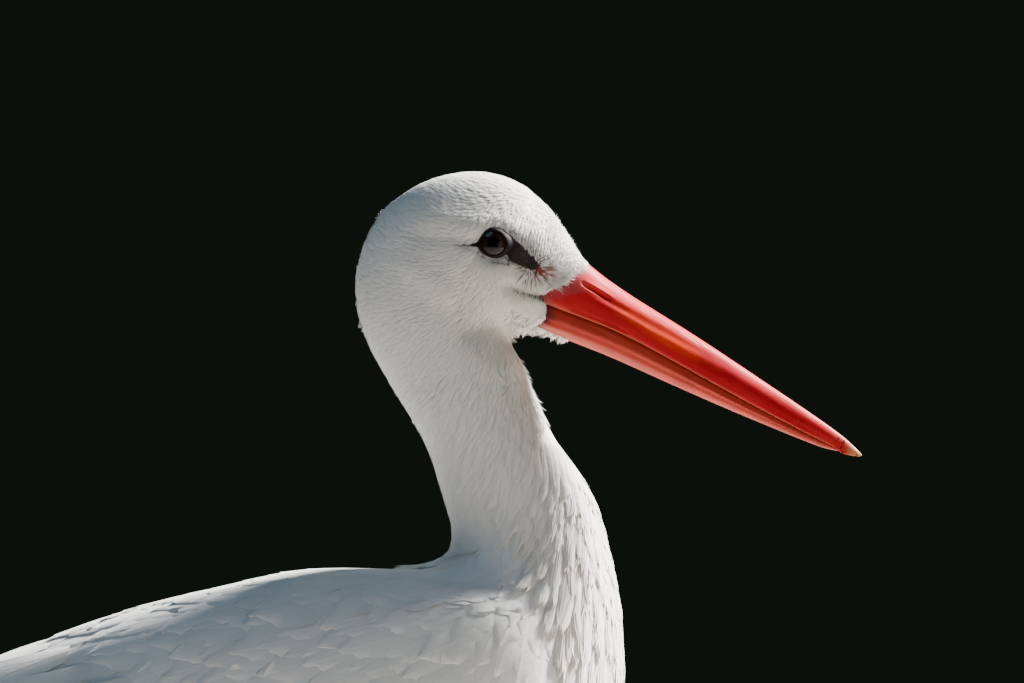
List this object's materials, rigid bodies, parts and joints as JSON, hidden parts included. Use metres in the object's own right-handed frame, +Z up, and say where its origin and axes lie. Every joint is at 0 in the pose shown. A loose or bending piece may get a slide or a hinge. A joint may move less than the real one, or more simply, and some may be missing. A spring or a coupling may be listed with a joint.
{
  "type": "white stork",
  "caption": "Still life-size bird: a standing white stork with folded black-edged wings, a bent neck and a long red bill pointing down.",
  "frame": {"origin": "on the floor under the middle of the bird's length, in its sagittal plane", "axes": "+X forwards, where the bill points, +Y to the bird's left, +Z up"},
  "size_m": [0.6766, 0.1856, 0.8998],
  "materials": {
    "white_plumage": "soft matte feathers",
    "black_plumage": "satin black feathers with a faint sheen",
    "bill_horn": "satin red horn",
    "red_skin": "scaly red skin",
    "claw_horn": "dark satin horn",
    "eye": "wet gloss"
  },
  "bodies": {
    "root": {"head": "white_plumage", "bill_upper": "bill_horn", "bill_lower": "bill_horn", "neck_upper": "white_plumage", "neck_lower": "white_plumage", "trunk": "white_plumage", "tail": "white_plumage", "eye_left": "eye", "wing_left": "white_plumage", "secondaries_left": "black_plumage", "primaries_left": "black_plumage", "thigh_left": "white_plumage", "shank_left": "red_skin", "ankle_left": "red_skin", "tarsus_left": "red_skin", "palm_left": "red_skin", "toe_middle_left": "red_skin", "claw_middle_left": "claw_horn", "toe_inner_left": "red_skin", "claw_inner_left": "claw_horn", "toe_outer_left": "red_skin", "claw_outer_left": "claw_horn", "toe_hind_left": "red_skin", "claw_hind_left": "claw_horn", "eye_right": "eye", "wing_right": "white_plumage", "secondaries_right": "black_plumage", "primaries_right": "black_plumage", "thigh_right": "white_plumage", "shank_right": "red_skin", "ankle_right": "red_skin", "tarsus_right": "red_skin", "palm_right": "red_skin", "toe_middle_right": "red_skin", "claw_middle_right": "claw_horn", "toe_inner_right": "red_skin", "claw_inner_right": "claw_horn", "toe_outer_right": "red_skin", "claw_outer_right": "claw_horn", "toe_hind_right": "red_skin", "claw_hind_right": "claw_horn"}
  },
  "joints": []
}
